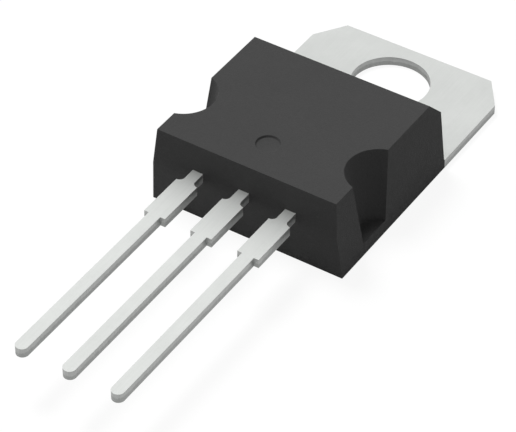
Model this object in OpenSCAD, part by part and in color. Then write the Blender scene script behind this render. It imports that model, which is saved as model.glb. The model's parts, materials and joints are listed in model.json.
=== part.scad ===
// Three-lead power transistor: an epoxy body moulded over a stamped copper
// frame, with a screw tab behind it and three flat leads in front.
// The origin is the centre of the screw hole, on the mounting face.
// +Z leaves that face, +Y runs to the end of the tab, the leads point to -Y.

/* [Moulded body] */
// Width of the body at the mounting face
body_w = 10.55; // [9.6:0.05:10.6]
// Height of the body above the mounting face
body_h = 4.4; // [4:0.1:5]
// Length of the body along its parting line
body_l = 9.6; // [9.4:0.1:10.4]
// Distance from the hole's centre to the body
hole_to_body = 3.7; // [3.2:0.1:4.4]
// Draft of the sides and of the front, in degrees
side_draft = 5; // [2:0.5:6]
// Draft of the face towards the tab, in degrees
back_draft = 2; // [1:0.5:5]
// Bevel along the top edge towards the tab
top_bevel = 1; // [0.4:0.1:1.3]

/* [Side notches] */
// Radius of each notch at the top of the body
notch_top_r = 1.65; // [1.3:0.05:1.8]
// Radius of each notch at its floor
notch_floor_r = 1; // [0.8:0.05:1.1]
// Height of the notch floors above the mounting face
notch_floor = 0.65; // [0.6:0.05:1.2]
// Distance from the part's centre line to a notch's axis
notch_x = 5.4; // [5.3:0.05:5.8]
// Distance from the body's tab side to the notch's axis
notch_back = 6.45; // [6:0.05:6.7]

/* [Ejector mark] */
// Diameter of the ejector pin's mark in the top
pin_mark_d = 1.2; // [0.8:0.1:2]
// Depth of the mark
pin_mark_depth = 0.1; // [0.05:0.05:0.3]
// Width of the slope round the mark's floor
pin_mark_slope = 0.05; // [0.05:0.05:0.2]
// Distance from the body's tab side to the mark's centre
pin_mark_back = 7.5; // [6:0.1:8.5]

/* [Tab and die pad] */
// Thickness of the frame's sheet
sheet_t = 0.5; // [0.4:0.02:0.56]
// Width of the tab
tab_w = 10.55; // [9.6:0.05:10.6]
// Distance from the hole's centre to the end of the tab
hole_to_end = 2.8; // [2.6:0.1:3.4]
// Diameter of the screw hole
hole_d = 4; // [3.5:0.05:4.1]
// Part of the tab's width that each cut corner takes
corner_w = 1.1; // [0.5:0.1:1.8]
// Part of the tab's length that each cut corner takes
corner_l = 1.6; // [0.5:0.1:2]
// Width of the die pad inside the body
pad_w = 8.2; // [7:0.1:8.4]
// Length of the die pad inside the body
pad_l = 6; // [5:0.1:6.2]
// Width of the lip coined along each side of the pad
lip_w = 0.3; // [0.1:0.05:0.5]
// Thickness of that lip
lip_t = 0.25; // [0.15:0.05:0.3]

/* [Leads] */
// Distance between neighbouring leads
pitch = 2.54; // [2.5:0.01:2.6]
// Height of the leads' underside above the mounting face
lead_z = 2.46; // [2.2:0.02:2.8]
// Length of each lead outside the body's parting line
lead_l = 13.95; // [10:0.05:14.7]
// Width of a lead's long thin part
lead_w = 0.64; // [0.5:0.02:0.9]
// Width of the neck where a lead leaves the body
neck_w = 0.58; // [0.5:0.02:0.8]
// Width of the wide part next to the body
shoulder_w = 1.15; // [1:0.05:1.5]
// Distance from the parting line to the wide part
neck_l = 0.9; // [0.5:0.05:1.2]
// Distance from the parting line to the end of the wide part
shoulder_l = 3.52; // [2.5:0.02:4.5]

/* [Frame inside the body] */
// Angle at which the centre lead climbs from the pad, in degrees
climb_angle = 55; // [45:1:65]
// Inside radius of the two bends in that climb
bend_r = 0.3; // [0.2:0.05:0.4]
// Width of the strap that climbs
strap_w = 1.5; // [1.2:0.1:1.6]
// Width of each bonding post
post_w = 2.4; // [1.8:0.1:2.5]
// Length of each bonding post
post_l = 1.7; // [1.4:0.1:1.9]
// Distance from the parting line to a bonding post
post_inset = 0.5; // [0.4:0.05:0.7]
// Distance from a lead's centre line to the middle of its post
post_shift = 0.16; // [0:0.02:0.3]

/* [Chip and bond wires] */
// Width of the chip
die_w = 3.4; // [2.8:0.1:4]
// Length of the chip
die_l = 3.2; // [2.8:0.1:3.6]
// Thickness of the chip
die_t = 0.3; // [0.2:0.02:0.4]
// Distance from the body's tab side to the middle of the chip
die_back = 3.2; // [2.6:0.1:3.6]
// Thickness of the solder under the chip
solder_t = 0.06; // [0.04:0.01:0.1]
// Width of the solder that shows round the chip
solder_edge = 0.15; // [0.05:0.05:0.3]
// Diameter of the thin bond wire
thin_wire_d = 0.15; // [0.1:0.01:0.2]
// Diameter of the two thick bond wires
thick_wire_d = 0.38; // [0.25:0.01:0.4]
// Thickness of the resin over the bond wires' loops
wire_cover = 0.4; // [0.2:0.05:0.5]
// Length of a bond's flat foot, in wire diameters
foot_l = 2; // [1.6:0.1:2.2]
// Width of the foot, in wire diameters
foot_w = 1.3; // [1.2:0.05:1.35]
// Thickness of the foot, in wire diameters
foot_t = 0.45; // [0.35:0.05:0.5]
// Distance from the thin wire's bond on the chip to the chip's centre line
thin_bond_x = 0.85; // [0.5:0.05:1.1]
// Distance from the inner thick wire's bond on the chip to the centre line
inner_bond_x = 0.45; // [0.3:0.05:0.55]
// Distance from the outer thick wire's bond on the chip to the centre line
outer_bond_x = 1.1; // [1:0.05:1.15]
// Distance from the chip's middle to the line of its bonds
bond_forward = 0.4; // [0:0.05:0.7]
// Distance between the two thick wires' bonds on their post
bond_gap = 1.2; // [0.8:0.05:1.25]
// Distance from a post's inner end to the middle of its bonds
bond_in = 0.7; // [0.5:0.05:0.9]

/* [Hidden] */
$fn = 64;

past = 1;                                       // how far cutters run on, and joined shapes lap
body_back = -hole_to_body;                      // Y of the body's face towards the tab
body_front = body_back - body_l;                // Y of the parting line
notch_y = body_back - notch_back;
pin_mark_y = body_back - pin_mark_back;

pad_front = body_back - pad_l;
bend_mid_r = bend_r + sheet_t / 2;
climb_slope_l = (lead_z - 2 * bend_mid_r * (1 - cos(climb_angle))) / sin(climb_angle);
climb_run = 2 * bend_mid_r * sin(climb_angle) + climb_slope_l * cos(climb_angle);
lead_top = lead_z + sheet_t;
shoulder_r = (shoulder_w - neck_w) / 2;         // hollow corner between neck and wide part
tip_y = body_front - lead_l;
neck_end = body_front - neck_l;
shoulder_end = body_front - shoulder_l;
post_front = body_front + post_inset;
post_back = post_front + post_l;

die_y = body_back - die_back;
die_floor = sheet_t + solder_t;
die_top = die_floor + die_t;
die_bond_y = die_y - bond_forward;
post_bond_y = post_back - bond_in;

// Half the body's width and the Y of its front, at a height z
function side_at(z) = body_w / 2 - z * tan(side_draft);
function front_at(z) = body_front + abs(z - lead_z) * tan(side_draft);
function back_at(z) = body_back - max(z - sheet_t, 0) * tan(back_draft);

// A post's middle lies outwards from its lead; side is -1 or 1
function post_x(side) = side * (pitch + post_shift);

// Outline of the body seen from the leads' end
module body_section() {
    polygon([
        [-side_at(0), 0], [side_at(0), 0],
        [side_at(body_h), body_h], [-side_at(body_h), body_h]
    ]);
}

// Outline of the body seen from its side, drawn with Y across and Z up
module body_profile() {
    bevel_foot = body_h - top_bevel;
    polygon([
        [back_at(0), 0], [back_at(sheet_t), sheet_t],
        [back_at(bevel_foot), bevel_foot], [back_at(bevel_foot) - top_bevel, body_h],
        [front_at(body_h), body_h], [body_front, lead_z], [front_at(0), 0]
    ]);
}

// Stands a Y-Z drawing up and gives it a thickness centred on the YZ plane
module across(width) {
    rotate([90, 0, 90]) linear_extrude(width, center = true) children();
}

module drafted_block() {
    intersection() {
        across(body_w + 2 * past) body_profile();
        rotate([90, 0, 0]) translate([0, 0, -body_back - past])
            linear_extrude(body_l + 2 * past) body_section();
    }
}

// A half-round side notch, narrower towards its floor
module side_notch(side) {
    rise = body_h - notch_floor;
    flare = (notch_top_r - notch_floor_r) / rise;
    translate([side * notch_x, notch_y, notch_floor])
        cylinder(h = rise + past, r1 = notch_floor_r, r2 = notch_top_r + flare * past);
}

// A shallow round mark with a sloped rim
module pin_mark() {
    flare = pin_mark_slope / pin_mark_depth;
    translate([0, pin_mark_y, body_h - pin_mark_depth]) cylinder(
        h = pin_mark_depth + past,
        r1 = pin_mark_d / 2 - pin_mark_slope, r2 = pin_mark_d / 2 + flare * past
    );
}

module moulded_body() {
    color([0.16, 0.16, 0.16]) difference() {
        drafted_block();
        side_notch(-1);
        side_notch(1);
        pin_mark();
        tab_frame();
        left_lead();
        right_lead();
        silicon_die();
        die_solder();
        left_wire();
        right_wire_inner();
        right_wire_outer();
    }
}

// The tab seen from above, with its two cut corners
module tab_outline() {
    difference() {
        polygon([
            [-tab_w / 2, body_back], [tab_w / 2, body_back],
            [tab_w / 2, hole_to_end - corner_l], [tab_w / 2 - corner_w, hole_to_end],
            [corner_w - tab_w / 2, hole_to_end], [-tab_w / 2, hole_to_end - corner_l]
        ]);
        circle(d = hole_d);
    }
}

// The pad's section: the coined lips leave resin under the pad's two sides
module pad_section() {
    flat = pad_w / 2 - lip_w;
    lip_z = sheet_t - lip_t;
    polygon([
        [-flat, 0], [flat, 0], [flat, lip_z], [pad_w / 2, lip_z],
        [pad_w / 2, sheet_t], [-pad_w / 2, sheet_t], [-pad_w / 2, lip_z], [-flat, lip_z]
    ]);
}

module die_pad() {
    translate([0, body_back + past, 0]) rotate([90, 0, 0])
        linear_extrude(pad_l + past) pad_section();
}

// Points along an arc
function arc(centre, r, from, to, steps = 8) =
    [for (i = [0:steps]) let (a = from + (to - from) * i / steps) centre + r * [cos(a), sin(a)]];

// The bent strap from the pad to the height of the leads, with its run drawn across
module climb_profile() {
    foot = [0, sheet_t + bend_r];
    head = [climb_run, lead_z - bend_r];
    outer_r = bend_r + sheet_t;
    strap_end = pad_front - post_front;
    polygon(concat(
        [[-past, 0]], arc(foot, outer_r, -90, climb_angle - 90),
        arc(head, bend_r, 90 + climb_angle, 90), [[strap_end, lead_z], [strap_end, lead_top]],
        arc(head, outer_r, 90, 90 + climb_angle), arc(foot, bend_r, climb_angle - 90, -90),
        [[-past, sheet_t]]
    ));
}

module climb() {
    translate([0, pad_front, 0]) mirror([0, 1, 0]) across(strap_w) climb_profile();
}

// A lead from its neck to its round tip, seen from above and centred on its own line
module lead_outline(inner_end) {
    difference() {
        union() {
            translate([-neck_w / 2, neck_end - shoulder_r])
                square([neck_w, inner_end - neck_end + shoulder_r]);
            translate([-shoulder_w / 2, shoulder_end])
                square([shoulder_w, neck_end + shoulder_r - shoulder_end]);
            translate([-lead_w / 2, tip_y + lead_w / 2])
                square([lead_w, shoulder_end - tip_y - lead_w / 2]);
            translate([0, tip_y + lead_w / 2]) circle(d = lead_w);
        }
        for (side = [-1, 1])
            translate([side * (neck_w / 2 + shoulder_r), neck_end + shoulder_r])
                circle(r = shoulder_r);
    }
}

module tab_frame() {
    color([0.82, 0.82, 0.82]) union() {
        linear_extrude(sheet_t) tab_outline();
        die_pad();
        climb();
        translate([0, 0, lead_z]) linear_extrude(sheet_t) lead_outline(post_front + past / 2);
    }
}

// A side lead with the wide post inside the body that its wires are bonded to
module outer_lead(side) {
    color([0.82, 0.82, 0.82]) translate([0, 0, lead_z]) linear_extrude(sheet_t) {
        translate([side * pitch, 0]) lead_outline(post_front + past / 2);
        translate([post_x(side) - post_w / 2, post_front]) square([post_w, post_l]);
    }
}

module left_lead() { outer_lead(-1); }
module right_lead() { outer_lead(1); }

module silicon_die() {
    color([0.35, 0.37, 0.42]) translate([-die_w / 2, die_y - die_l / 2, die_floor])
        cube([die_w, die_l, die_t]);
}

module die_solder() {
    width = die_w + 2 * solder_edge;
    length = die_l + 2 * solder_edge;
    color([0.62, 0.62, 0.64]) translate([-width / 2, die_y - length / 2, sheet_t])
        cube([width, length, solder_t]);
}

// The flat foot that each end of a wire is pressed into as it is welded down
module bond_foot(d) {
    straight = (foot_l - foot_w) * d;
    linear_extrude(foot_t * d) {
        square([straight, foot_w * d], center = true);
        for (side = [-1, 1]) translate([side * straight / 2, 0]) circle(d = foot_w * d);
    }
}

// A bond wire: an arc with a foot on the chip at start and one on a post at end.
// Its circle passes through both bonds and comes up to loop above the chip.
module bond_wire(start, end, d) {
    run = end - start;
    length = norm(run);
    rise = lead_top - die_top;
    loop = body_h - wire_cover - d / 2 - die_top;
    reach = (length - sqrt((1 - rise / loop) * (length * length + rise * rise))) * loop / rise;
    up = (loop * loop - reach * reach) / (2 * loop);
    color([0.88, 0.88, 0.9]) translate([start.x, start.y, die_top])
        rotate([0, 0, atan2(run.y, run.x)]) union() {
            intersection() {
                translate([reach, 0, up]) rotate([90, 0, 0])
                    rotate_extrude() translate([loop - up, 0]) circle(d = d, $fn = 24);
                rotate([90, 0, 0]) linear_extrude(2 * d, center = true) polygon([
                    [-length, 0], [length / 2, 0], [length / 2, rise], [2 * length, rise],
                    [2 * length, body_h], [-length, body_h]
                ]);
            }
            bond_foot(d);
            translate([length, 0, rise]) bond_foot(d);
        }
}

module left_wire() {
    bond_wire([-thin_bond_x, die_bond_y], [post_x(-1), post_bond_y], thin_wire_d);
}

module right_wire_inner() {
    post_bond_x = post_x(1) - bond_gap / 2;
    bond_wire([inner_bond_x, die_bond_y], [post_bond_x, post_bond_y], thick_wire_d);
}

module right_wire_outer() {
    post_bond_x = post_x(1) + bond_gap / 2;
    bond_wire([outer_bond_x, die_bond_y], [post_bond_x, post_bond_y], thick_wire_d);
}

moulded_body();
tab_frame();
left_lead();
right_lead();
silicon_die();
die_solder();
left_wire();
right_wire_inner();
right_wire_outer();
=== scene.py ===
import json
import math

import bmesh
import bpy
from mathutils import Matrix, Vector


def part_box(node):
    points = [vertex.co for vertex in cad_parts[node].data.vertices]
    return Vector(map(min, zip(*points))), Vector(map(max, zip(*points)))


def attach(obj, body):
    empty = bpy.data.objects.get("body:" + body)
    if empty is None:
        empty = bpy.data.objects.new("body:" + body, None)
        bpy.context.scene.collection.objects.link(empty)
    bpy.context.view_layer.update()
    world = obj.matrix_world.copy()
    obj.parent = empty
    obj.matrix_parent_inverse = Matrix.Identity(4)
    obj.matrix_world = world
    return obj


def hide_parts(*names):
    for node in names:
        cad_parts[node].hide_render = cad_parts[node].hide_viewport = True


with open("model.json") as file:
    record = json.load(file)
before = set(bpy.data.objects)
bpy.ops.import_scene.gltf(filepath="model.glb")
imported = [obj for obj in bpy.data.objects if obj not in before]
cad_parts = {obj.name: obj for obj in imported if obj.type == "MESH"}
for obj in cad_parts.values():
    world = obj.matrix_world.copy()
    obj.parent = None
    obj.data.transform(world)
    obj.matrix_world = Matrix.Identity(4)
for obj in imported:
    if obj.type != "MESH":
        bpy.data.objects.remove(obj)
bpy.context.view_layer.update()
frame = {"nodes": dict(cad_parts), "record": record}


# ---------------------------------------------------------------- Tab frame
# The tab, the pad under the chip and the centre lead are one piece of copper
# sheet, tin plated. A press punches it out, coins a lip along the pad's two
# sides and folds the strap up to the level of the outer leads.
MM = 0.001
tab_low, tab_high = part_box("tab_frame")
lead_low, lead_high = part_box("left_lead")
body_low, body_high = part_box("moulded_body")
screw_hole = next(m for m in frame["record"]["mounts"] if m["name"] == "screw_hole")

sheet = lead_high.z - lead_low.z
lead_z = lead_low.z
tip_y = tab_low.y
tab_w = tab_high.x - tab_low.x
corner_w = 1.1 * MM
corner_l = 1.6 * MM
pad_w = 8.2 * MM
pad_l = 6 * MM
lip_w = 0.3 * MM
lip_t = 0.25 * MM
bend_r = 0.3 * MM
climb = math.radians(55)
strap_w = 1.5 * MM
post_inset = 0.5 * MM
neck_w = 0.58 * MM
neck_l = 0.9 * MM
shoulder_w = 1.15 * MM
shoulder_l = 3.52 * MM
lead_w = 0.64 * MM
metal_edge_r = 0.02 * MM
same_point = 0.0001 * MM

body_back = body_high.y
body_front = body_low.y
pad_front = body_back - pad_l
post_front = body_front + post_inset
neck_end = body_front - neck_l
shoulder_end = body_front - shoulder_l


def new_block(name, low, high):
    """A plain block between two corners, left in edit mode with nothing selected."""
    bpy.ops.object.select_all(action="DESELECT")
    low, high = Vector(low), Vector(high)
    bpy.ops.mesh.primitive_cube_add(size=1, location=(low + high) / 2)
    block = bpy.context.object
    block.name = block.data.name = name
    block.scale = high - low
    bpy.ops.object.transform_apply(location=True, rotation=True, scale=True)
    bpy.ops.object.mode_set(mode="EDIT")
    bpy.ops.mesh.select_mode(type="FACE")
    bpy.ops.mesh.select_all(action="DESELECT")
    return block


def pick_faces(piece, wanted):
    """Selects the faces that pass a test of their middle and normal, and no others."""
    bpy.ops.mesh.select_mode(type="FACE")
    bpy.ops.mesh.select_all(action="DESELECT")
    mesh = bmesh.from_edit_mesh(piece.data)
    for face in mesh.faces:
        face.select_set(bool(wanted(face.calc_center_median(), face.normal)))
    bmesh.update_edit_mesh(piece.data)


def pick_edges(piece, wanted):
    """Selects the edges that pass a test of their two ends, and no others."""
    bpy.ops.mesh.select_mode(type="EDGE")
    bpy.ops.mesh.select_all(action="DESELECT")
    mesh = bmesh.from_edit_mesh(piece.data)
    for edge in mesh.edges:
        edge.select_set(bool(wanted(edge.verts[0].co, edge.verts[1].co)))
    bmesh.update_edit_mesh(piece.data)


def draw_out(step):
    """Extrudes what is selected by a step."""
    bpy.ops.mesh.extrude_region_move(TRANSFORM_OT_translate={"value": step})


def widen(piece, y_from, y_to, left, right):
    """Draws the sides of a stretch of the strip outwards."""
    for side, out in ((-1, left), (1, right)):
        pick_faces(piece, lambda middle, normal: y_to < middle.y < y_from and normal.x * side > 0.9)
        draw_out((side * out, 0, 0))


def trim(piece, point, normal):
    """Cuts off what lies beyond a plane and closes the cut."""
    bpy.ops.mesh.select_all(action="SELECT")
    bpy.ops.mesh.bisect(
        plane_co=point, plane_no=Vector(normal).normalized(), use_fill=True,
        clear_outer=True, threshold=same_point
    )


def cut_away(piece, cutter):
    """Takes the cutter's shape out of the piece."""
    cut = piece.modifiers.new("cut", "BOOLEAN")
    cut.operation = "DIFFERENCE"
    cut.solver = "EXACT"
    cut.object = cutter
    bpy.context.view_layer.objects.active = piece
    bpy.ops.object.modifier_apply(modifier=cut.name)
    bpy.data.objects.remove(cutter)


def leave_edit():
    """Back to object mode, with nothing selected on the piece."""
    bpy.ops.mesh.select_all(action="DESELECT")
    bpy.ops.object.mode_set(mode="OBJECT")


def put_in_order(piece):
    """Lists points and faces by their place: what edit mode leaves differs from run to run."""
    mesh = piece.data
    order = sorted(range(len(mesh.vertices)), key=lambda i: tuple(mesh.vertices[i].co))
    rank = {old: new for new, old in enumerate(order)}
    points = [mesh.vertices[i].co.copy() for i in order]
    faces = []
    for face in mesh.polygons:
        corners = [rank[i] for i in face.vertices]
        first = corners.index(min(corners))
        faces.append(corners[first:] + corners[:first])
    mesh.clear_geometry()
    mesh.from_pydata(points, [], sorted(faces))


def form_lead(piece):
    """Shapes the outer stretch of a strip into a lead: hollow corners and a round tip."""
    hollow = (shoulder_w - neck_w) / 2
    hollow_share = 0.98
    tip_share = 0.995
    widen(piece, neck_end, tip_y, (lead_w - neck_w) / 2, (lead_w - neck_w) / 2)
    widen(piece, neck_end, shoulder_end, (shoulder_w - lead_w) / 2, (shoulder_w - lead_w) / 2)
    bpy.ops.mesh.select_all(action="SELECT")
    bpy.ops.mesh.dissolve_limited(angle_limit=math.radians(1))
    near = 0.01 * MM

    def upright(a, b, half, y):
        return all(abs(abs(p.x) - half) < near and abs(p.y - y) < near for p in (a, b))

    # Both bevels stop a hair short of the room they have, so that no points meet
    pick_edges(piece, lambda a, b: upright(a, b, neck_w / 2, neck_end) and a.z != b.z)
    bpy.ops.mesh.bevel(offset=hollow * hollow_share, segments=8, profile=0.5)
    pick_edges(piece, lambda a, b: upright(a, b, lead_w / 2, tip_y) and a.z != b.z)
    bpy.ops.mesh.bevel(offset=lead_w / 2 * tip_share, segments=12, profile=0.5)


def spare_copy(piece, name):
    """A copy with its own mesh, kept to cut the piece's seat in the moulded body."""
    twin = piece.copy()
    twin.data = piece.data.copy()
    twin.name = twin.data.name = name
    bpy.context.collection.objects.link(twin)
    return twin


def soften(piece, radius, segments=2):
    """Rounds every sharp edge a little and shades the piece."""
    bpy.ops.object.select_all(action="DESELECT")
    piece.select_set(True)
    bpy.context.view_layer.objects.active = piece
    bevel = piece.modifiers.new("soft_edges", "BEVEL")
    bevel.width = radius
    bevel.segments = segments
    bevel.limit_method = "ANGLE"
    bevel.angle_limit = math.radians(30)
    bpy.ops.object.modifier_apply(modifier=bevel.name)
    bpy.ops.object.shade_smooth_by_angle(angle=math.radians(35))
    flatten = piece.modifiers.new("flat_faces_stay_flat", "WEIGHTED_NORMAL")
    flatten.keep_sharp = True
    bpy.ops.object.modifier_apply(modifier=flatten.name)


# The strip starts as the tab's narrow middle and is drawn out to the tip
tab_frame = new_block(
    "tab_frame_plated", (-neck_w / 2, body_back, 0), (neck_w / 2, tab_high.y, sheet)
)
pick_faces(tab_frame, lambda middle, normal: normal.y < -0.9)
draw_out((0, -pad_l, 0))
bend_mid = bend_r + sheet / 2
slope_l = (lead_z - 2 * bend_mid * (1 - math.cos(climb))) / math.sin(climb)
climb_run = 2 * bend_mid * math.sin(climb) + slope_l * math.cos(climb)
bpy.ops.mesh.spin(
    steps=8, angle=climb, center=(0, pad_front, sheet + bend_r), axis=(1, 0, 0)
)
draw_out((0, -slope_l * math.cos(climb), slope_l * math.sin(climb)))
bpy.ops.mesh.spin(
    steps=8, angle=-climb, center=(0, pad_front - climb_run, lead_z - bend_r), axis=(1, 0, 0)
)
for stop, start in (
    (post_front, pad_front - climb_run), (neck_end, post_front),
    (shoulder_end, neck_end), (tip_y, shoulder_end),
):
    draw_out((0, stop - start, 0))

# Each stretch is widened together with the wider ones behind it
widen(tab_frame, tab_high.y, post_front, (strap_w - neck_w) / 2, (strap_w - neck_w) / 2)
widen(tab_frame, tab_high.y, pad_front, (pad_w - strap_w) / 2, (pad_w - strap_w) / 2)
widen(tab_frame, tab_high.y, body_back, (tab_w - pad_w) / 2, (tab_w - pad_w) / 2)
form_lead(tab_frame)
for side in (-1, 1):
    corner = (side * (tab_w / 2 - corner_w), tab_high.y, 0)
    trim(tab_frame, corner, (side * corner_l, corner_w, 0))
leave_edit()
put_in_order(tab_frame)

bpy.ops.mesh.primitive_cylinder_add(
    vertices=128, radius=screw_hole["dims"]["r_mm"] * MM, depth=4 * sheet, location=(0, 0, 0)
)
cut_away(tab_frame, bpy.context.object)
for side in (-1, 1):
    inner = side * (pad_w / 2 - lip_w)
    outer = side * (pad_w / 2 + lip_w)
    coin = new_block(
        "coining_die", (min(inner, outer), pad_front - lip_w, -sheet),
        (max(inner, outer), body_back, sheet - lip_t)
    )
    leave_edit()
    cut_away(tab_frame, coin)
frame_core = spare_copy(tab_frame, "frame_core")
soften(tab_frame, metal_edge_r)


def node_maker(tree):
    """Adds nodes to a tree and joins them up in one call."""

    def make(kind, inputs=(), **settings):
        node = tree.nodes.new(kind)
        for key, value in settings.items():
            setattr(node, key, value)
        for name, value in dict(inputs).items():
            if isinstance(value, bpy.types.NodeSocket):
                tree.links.new(value, node.inputs[name])
            else:
                node.inputs[name].default_value = value
        return node

    return make


def grey(value):
    """A colour with the same red, green and blue."""
    return (value, value, value, 1)


def calc(make, operation, first, second=0):
    """A sum, product or comparison of two values."""
    return make("ShaderNodeMath", {0: first, 1: second}, operation=operation).outputs[0]


def ramp(make, value, span, ends):
    """Runs from the first end to the second while the value crosses the span."""
    return make(
        "ShaderNodeMapRange",
        {"Value": value, "From Min": span[0], "From Max": span[1],
         "To Min": ends[0], "To Max": ends[1]},
    ).outputs["Result"]


def mottle_group():
    """Soft patches that turn a plain value into one that wanders a little."""
    tree = bpy.data.node_groups.new("mottle", "ShaderNodeTree")
    sockets = tree.interface
    sockets.new_socket("Vector", in_out="INPUT", socket_type="NodeSocketVector")
    sockets.new_socket("Patches per mm", in_out="INPUT", socket_type="NodeSocketFloat")
    sockets.new_socket("Low", in_out="INPUT", socket_type="NodeSocketFloat")
    sockets.new_socket("High", in_out="INPUT", socket_type="NodeSocketFloat")
    sockets.new_socket("Value", in_out="OUTPUT", socket_type="NodeSocketFloat")
    make = node_maker(tree)
    given = make("NodeGroupInput").outputs
    scale = calc(make, "MULTIPLY", given["Patches per mm"], 1 / MM)
    noise = make(
        "ShaderNodeTexNoise",
        {"Vector": given["Vector"], "Scale": scale, "Detail": 5, "Roughness": 0.6},
    ).outputs["Fac"]
    spread = ramp(make, noise, (0.3, 0.7), (given["Low"], given["High"]))
    make("NodeGroupOutput", {"Value": spread})
    return tree


mottle = mottle_group()


def new_material(name):
    """A material with its shader, a node maker and the piece's own coordinates."""
    material = bpy.data.materials.new(name)
    material.use_nodes = True
    tree = material.node_tree
    tree.nodes.clear()
    make = node_maker(tree)
    shader = make("ShaderNodeBsdfPrincipled")
    make("ShaderNodeOutputMaterial", {"Surface": shader.outputs["BSDF"]})
    place = make("ShaderNodeTexCoord").outputs["Object"]
    return material, tree, make, shader, place


def add_mottle(make, place, per_mm, low, high):
    """A value that wanders between two limits, in patches of one size."""
    group = make(
        "ShaderNodeGroup",
        {"Vector": place, "Patches per mm": per_mm, "Low": low, "High": high},
        node_tree=mottle,
    )
    return group.outputs["Value"]


def tin_plate():
    """Satin tin plate: rolled faces with fine lines along the strip, and streaked cut edges whose
    tone is painted far darker as shade.
    """
    lead_tone = 0.81
    # The two lower tones below are painted shade from the body, on the leads near it and on the tab
    shaded_tone_at_body = 0.695
    shaded_tab_tone = 0.74
    green_share = 1.02
    # The cut edges' two tones below are painted shade, about half the tone of the faces
    clean_cut_shaded_tone = 0.41
    torn_cut_shaded_tone = 0.39
    clean_rough = 0.45
    torn_rough = 0.65
    tab_cut_factor = 0.91
    torn_depth = 0.5 * sheet
    torn_blur = 0.05 * sheet
    torn_wander = 0.12 * sheet
    material, tree, make, shader, place = new_material("tin_plate")
    shader.inputs["Metallic"].default_value = 0.9

    # Painted shade: the leads are painted darker towards the body, and the tab darker than the
    # leads, standing in for the body's shade on them
    along = make("ShaderNodeSeparateXYZ", {"Vector": place}).outputs["Y"]
    on_leads = ramp(make, along, (shoulder_end, body_front), (lead_tone, shaded_tone_at_body))
    on_tab = ramp(make, along, (body_front, body_back), (0, shaded_tab_tone - shaded_tone_at_body))
    bright = calc(make, "ADD", on_leads, on_tab)

    rolled = make(
        "ShaderNodeMapping", {"Vector": place, "Scale": (1, 0.03, 1)}
    ).outputs["Vector"]
    lines = add_mottle(make, rolled, per_mm=14, low=-0.014, high=0.014)
    clouds = add_mottle(make, place, per_mm=0.35, low=-0.02, high=0.02)
    tint = calc(make, "ADD", lines, clouds)
    face_tone = calc(make, "ADD", tint, bright)

    # Where the surface stands upright, the punch has sheared it, and its tone is painted far darker
    # there as shade
    normal = make("ShaderNodeTexCoord").outputs["Normal"]
    upward = make("ShaderNodeSeparateXYZ", {"Vector": normal}).outputs["Z"]
    flatness = calc(make, "ABSOLUTE", upward)
    cut_edge_and_shade = ramp(make, flatness, (0.25, 0.75), (1, 0))
    streaks = make(
        "ShaderNodeMapping", {"Vector": place, "Scale": (1, 1, 0.15)}
    ).outputs["Vector"]
    shear = add_mottle(make, streaks, per_mm=9, low=-0.03, high=0.03)

    # It cuts the upper half of the sheet clean and then tears through the rest
    level = make("ShaderNodeSeparateXYZ", {"Vector": place}).outputs["Z"]
    in_lead = calc(make, "GREATER_THAN", level, lead_z / 2)
    foot = calc(make, "MULTIPLY", in_lead, lead_z)
    depth = calc(make, "SUBTRACT", level, foot)
    wander = add_mottle(make, streaks, per_mm=2, low=-torn_wander, high=torn_wander)
    line = calc(make, "ADD", depth, wander)
    torn = ramp(make, line, (torn_depth - torn_blur, torn_depth + torn_blur), (1, 0))
    band_tone = ramp(make, torn, (0, 1), (clean_cut_shaded_tone, torn_cut_shaded_tone))
    streaked = calc(make, "ADD", shear, band_tone)
    # The cut edges' tone is painted lower on the tab than on the leads
    darker_on_tab = ramp(make, along, (body_front, body_back), (1, tab_cut_factor))
    shaded_edge_tone = calc(make, "MULTIPLY", streaked, darker_on_tab)
    edge_rough = ramp(make, torn, (0, 1), (clean_rough, torn_rough))

    tone = make(
        "ShaderNodeMix", {"Factor": cut_edge_and_shade, "A": face_tone, "B": shaded_edge_tone}
    ).outputs["Result"]
    green = calc(make, "MULTIPLY", tone, green_share)
    colour = make("ShaderNodeCombineColor", {"Red": tone, "Green": green, "Blue": tone})
    tree.links.new(colour.outputs["Color"], shader.inputs["Base Color"])

    face_rough = add_mottle(make, place, per_mm=1.5, low=0.62, high=0.7)
    rough = make(
        "ShaderNodeMix", {"Factor": cut_edge_and_shade, "A": face_rough, "B": edge_rough}
    ).outputs["Result"]
    tree.links.new(rough, shader.inputs["Roughness"])

    height = make(
        "ShaderNodeMix", {"Factor": cut_edge_and_shade, "A": lines, "B": shear}
    ).outputs["Result"]
    bump = make(
        "ShaderNodeBump", {"Height": height, "Strength": 0.5, "Distance": 0.02 * MM}
    )
    tree.links.new(bump.outputs["Normal"], shader.inputs["Normal"])
    return material


tin = tin_plate()


def finish_piece(piece, material, node):
    """Dresses a piece, seats it on the part and lets it stand for its solid."""
    piece.data.materials.clear()
    piece.data.materials.append(material)
    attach(piece, "root")
    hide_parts(node)


finish_piece(tab_frame, tin, "tab_frame")


# ---------------------------------------------------------------- Outer leads
# Two straight leads of the same tin-plated sheet, punched in one strip with the
# frame and cut free after moulding. Each ends inside the body in a wide post
# that the bond wires are welded to; the posts lie a little outwards.
post_w = 2.4 * MM
post_shift = 0.16 * MM
pitch = (lead_high.x + lead_low.x) / -2 - post_shift


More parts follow.
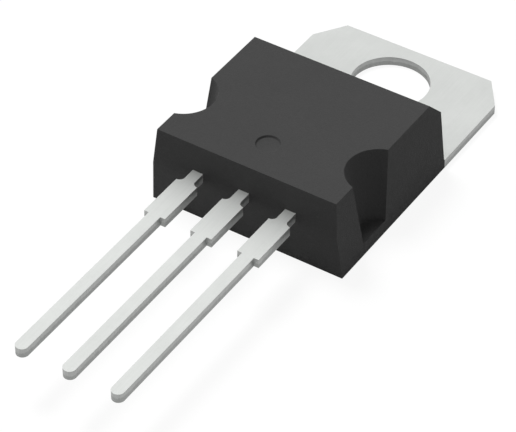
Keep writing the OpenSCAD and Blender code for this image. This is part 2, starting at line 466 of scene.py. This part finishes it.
def outer_lead(name, side):
    """One straight lead with its post, on the left (-1) or the right (1)."""
    lead = new_block(
        name, (-neck_w / 2, post_front, lead_z), (neck_w / 2, lead_high.y, lead_high.z)
    )
    pick_faces(lead, lambda middle, normal: normal.y < -0.9)
    for stop, start in (
        (neck_end, post_front), (shoulder_end, neck_end), (tip_y, shoulder_end),
    ):
        draw_out((0, stop - start, 0))
    reach = (post_w - neck_w) / 2
    widen(lead, lead_high.y, post_front, reach - side * post_shift, reach + side * post_shift)
    form_lead(lead)
    bpy.ops.mesh.select_all(action="SELECT")
    bpy.ops.transform.translate(value=(side * pitch, 0, 0))
    leave_edit()
    put_in_order(lead)
    return lead


lead_cores = []
for node, side in (("left_lead", -1), ("right_lead", 1)):
    lead = outer_lead(node + "_plated", side)
    lead_cores.append(spare_copy(lead, node + "_core"))
    soften(lead, metal_edge_r)
    finish_piece(lead, tin, node)


# ---------------------------------------------------------------- Chip and wires
# The silicon chip is soldered to the pad. Aluminium wires are welded from its top
# to the posts: one thin wire on the left, two thick ones on the right. All of it
# is then buried in the body, so the solids stay as they are and only get a finish.
def silicon():
    """Polished silicon under a thin metal layer, divided by narrow lanes."""
    material, tree, make, shader, place = new_material("silicon_chip")
    shader.inputs["Metallic"].default_value = 0.6
    shader.inputs["IOR"].default_value = 3.4
    lanes = make(
        "ShaderNodeTexBrick",
        {"Vector": place, "Scale": 0.4 / MM, "Mortar Size": 0.03, "Color1": grey(0.5),
         "Color2": grey(0.42), "Mortar": (0.05, 0.06, 0.09, 1)},
    )
    tree.links.new(lanes.outputs["Color"], shader.inputs["Base Color"])
    rough = add_mottle(make, place, per_mm=3, low=0.12, high=0.22)
    tree.links.new(rough, shader.inputs["Roughness"])
    return material


def dull_metal(name, tone, smoothest, roughest, per_mm):
    """Bare soft metal with a slightly uneven surface."""
    material, tree, make, shader, place = new_material(name)
    shader.inputs["Metallic"].default_value = 1
    shade = add_mottle(make, place, per_mm, low=tone * 0.92, high=tone * 1.05)
    colour = make("ShaderNodeCombineColor", {"Red": shade, "Green": shade, "Blue": shade})
    tree.links.new(colour.outputs["Color"], shader.inputs["Base Color"])
    rough = add_mottle(make, place, per_mm * 2, low=smoothest, high=roughest)
    tree.links.new(rough, shader.inputs["Roughness"])
    bump = make("ShaderNodeBump", {"Height": shade, "Strength": 0.4, "Distance": 0.01 * MM})
    tree.links.new(bump.outputs["Normal"], shader.inputs["Normal"])
    return material


def merge_points(piece):
    """Makes one of the points that lie on each other, and drops faces without area."""
    bpy.ops.object.select_all(action="DESELECT")
    piece.select_set(True)
    bpy.context.view_layer.objects.active = piece
    bpy.ops.object.mode_set(mode="EDIT")
    bpy.ops.mesh.select_all(action="SELECT")
    bpy.ops.mesh.remove_doubles(threshold=same_point)
    bpy.ops.mesh.dissolve_degenerate(threshold=same_point)
    leave_edit()


bond_metal = dull_metal("bond_wire", tone=0.8, smoothest=0.25, roughest=0.4, per_mm=12)
buried = {
    "silicon_die": silicon(),
    "die_solder": dull_metal("die_solder", tone=0.36, smoothest=0.45, roughest=0.6, per_mm=6),
    "left_wire": bond_metal,
    "right_wire_inner": bond_metal,
    "right_wire_outer": bond_metal,
}
buried_cores = []
for node, material in buried.items():
    solid = frame["nodes"][node]
    solid.data.materials.clear()
    solid.data.materials.append(material)
    core = spare_copy(solid, node + "_core")
    merge_points(core)
    buried_cores.append(core)


# ---------------------------------------------------------------- Moulded body
# Black epoxy, pressed in one shot round the frame, the leads and the chip. The mould
# parts at the leads' underside, and the front leans back above and below it. Side
# pins leave two tapered notches, and an ejector pin a shallow mark in the top.
draft = math.radians(5)
back_draft = math.radians(2)
top_bevel = 1 * MM
notch_top_r = 1.65 * MM
notch_floor_r = 1 * MM
notch_floor = 0.65 * MM
notch_x = 5.4 * MM
notch_y = body_back - 6.45 * MM
mark_r = 0.6 * MM
mark_depth = 0.1 * MM
mark_slope = 0.05 * MM
mark_y = body_back - 7.5 * MM
mould_edge_r = 0.05 * MM
body_h = body_high.z

body = new_block("moulded_body_epoxy", body_low, body_high)
for side in (-1, 1):
    trim(body, (side * body_high.x, 0, 0), (side * math.cos(draft), 0, math.sin(draft)))
trim(body, (0, body_front, lead_z), (0, -math.cos(draft), math.sin(draft)))
trim(body, (0, body_front, lead_z), (0, -math.cos(draft), -math.sin(draft)))
trim(body, (0, body_back, sheet), (0, math.cos(back_draft), math.sin(back_draft)))
bevel_foot_z = body_h - top_bevel
bevel_foot_y = body_back - (bevel_foot_z - sheet) * math.tan(back_draft)
trim(body, (0, bevel_foot_y, bevel_foot_z), (0, 1, 1))
leave_edit()

past = 1 * MM
rise = body_h - notch_floor
flare = (notch_top_r - notch_floor_r) / rise
for side in (-1, 1):
    bpy.ops.mesh.primitive_cone_add(
        vertices=128, radius1=notch_floor_r, radius2=notch_top_r + flare * past,
        depth=rise + past, location=(side * notch_x, notch_y, notch_floor + (rise + past) / 2)
    )
    cut_away(body, bpy.context.object)
bpy.ops.mesh.primitive_cone_add(
    vertices=96, radius1=mark_r - mark_slope, radius2=mark_r + mark_slope,
    depth=2 * mark_depth, location=(0, mark_y, body_h)
)
cut_away(body, bpy.context.object)
soften(body, mould_edge_r, segments=3)
for core in [frame_core, *lead_cores, *buried_cores]:
    cut_away(body, core)
merge_points(body)


def epoxy():
    """Matte black moulding compound with the mould's fine eroded grain."""
    black = 0.063
    material, tree, make, shader, place = new_material("black_epoxy")
    patches = add_mottle(make, place, per_mm=0.25, low=-0.0015, high=0.0015)
    grains = add_mottle(make, place, per_mm=16, low=-0.004, high=0.004)
    uneven = calc(make, "ADD", patches, grains)
    tone = calc(make, "ADD", uneven, black)
    colour = make("ShaderNodeCombineColor", {"Red": tone, "Green": tone, "Blue": tone})
    tree.links.new(colour.outputs["Color"], shader.inputs["Base Color"])
    shader.inputs["Specular IOR Level"].default_value = 0.06
    rough = add_mottle(make, place, per_mm=4, low=0.58, high=0.7)
    tree.links.new(rough, shader.inputs["Roughness"])
    bump = make("ShaderNodeBump", {"Height": grains, "Strength": 0.8, "Distance": 2 * MM})
    tree.links.new(bump.outputs["Normal"], shader.inputs["Normal"])
    return material


finish_piece(body, epoxy(), "moulded_body")


# ---------------------------------------------------------------- Studio
# A white table under one broad light, high up on the left and a little behind,
# with a dim sky as fill. The camera looks down on the leads from the right.
def seen_directly(make):
    """1 for the camera, a reflection or glass, and 0 for light that falls on the part."""
    rays = make("ShaderNodeLightPath").outputs
    seen = calc(make, "MAXIMUM", rays["Is Camera Ray"], rays["Is Glossy Ray"])
    return calc(make, "MAXIMUM", seen, rays["Is Transmission Ray"])


def floor_paint():
    """White paper: seen at full white, but it throws less light back on the part."""
    throws_back = 0.55
    shows_shadow = 0.1
    glows = 0.91
    material, tree, make, shader, place = new_material("white_table")
    seen = seen_directly(make)
    tone = ramp(make, seen, (0, 1), (throws_back, shows_shadow))
    tree.links.new(tone, shader.inputs["Base Color"])
    glow = ramp(make, seen, (0, 1), (0, glows))
    tree.links.new(glow, shader.inputs["Emission Strength"])
    shader.inputs["Emission Color"].default_value = grey(1)
    shader.inputs["Roughness"].default_value = 1
    shader.inputs["Specular IOR Level"].default_value = 0
    return material


bpy.ops.object.select_all(action="DESELECT")
table_size = 3
table_gap = 0.005 * MM
bpy.ops.mesh.primitive_plane_add(size=table_size, location=(0, 0, -table_gap))
table = bpy.context.object
table.name = "table"
table.data.materials.append(floor_paint())

sky_fill = 0.25
world = bpy.data.worlds.new("studio")
bpy.context.scene.world = world
world.use_nodes = True
world.node_tree.nodes.clear()
make = node_maker(world.node_tree)
strength = ramp(make, seen_directly(make), (0, 1), (sky_fill, 1))
sky = make("ShaderNodeBackground", {"Color": grey(1), "Strength": strength})
make("ShaderNodeOutputWorld", {"Surface": sky.outputs["Background"]})

# A sun of pi lights a surface that faces it at the brightness it is painted
brightness = 0.87
overhead = bpy.data.lights.new("overhead", "SUN")
overhead.energy = math.pi * brightness
overhead.angle = math.radians(22)
lamp = bpy.data.objects.new("overhead", overhead)
lamp.rotation_euler = (math.radians(-8), math.radians(-25), 0)
lamp.visible_glossy = False
bpy.context.collection.objects.link(lamp)

camera_data = bpy.data.cameras.new("camera")
camera_data.sensor_width = 36
camera_data.lens = 194.4
camera_data.clip_start = 0.01
camera_data.clip_end = 10
camera = bpy.data.objects.new("camera", camera_data)
azimuth = math.radians(32.92)
elevation = math.radians(41.41)
distance = 128.4 * MM
target = Vector((0.88, -13.42, 2.0)) * MM
back = Vector((
    math.sin(azimuth) * math.cos(elevation),
    -math.cos(azimuth) * math.cos(elevation),
    math.sin(elevation),
))
camera.location = target + back * distance
camera.rotation_euler = (-back).to_track_quat("-Z", "Y").to_euler()
bpy.context.collection.objects.link(camera)
bpy.context.scene.camera = camera
bpy.context.scene.view_settings.view_transform = "Standard"
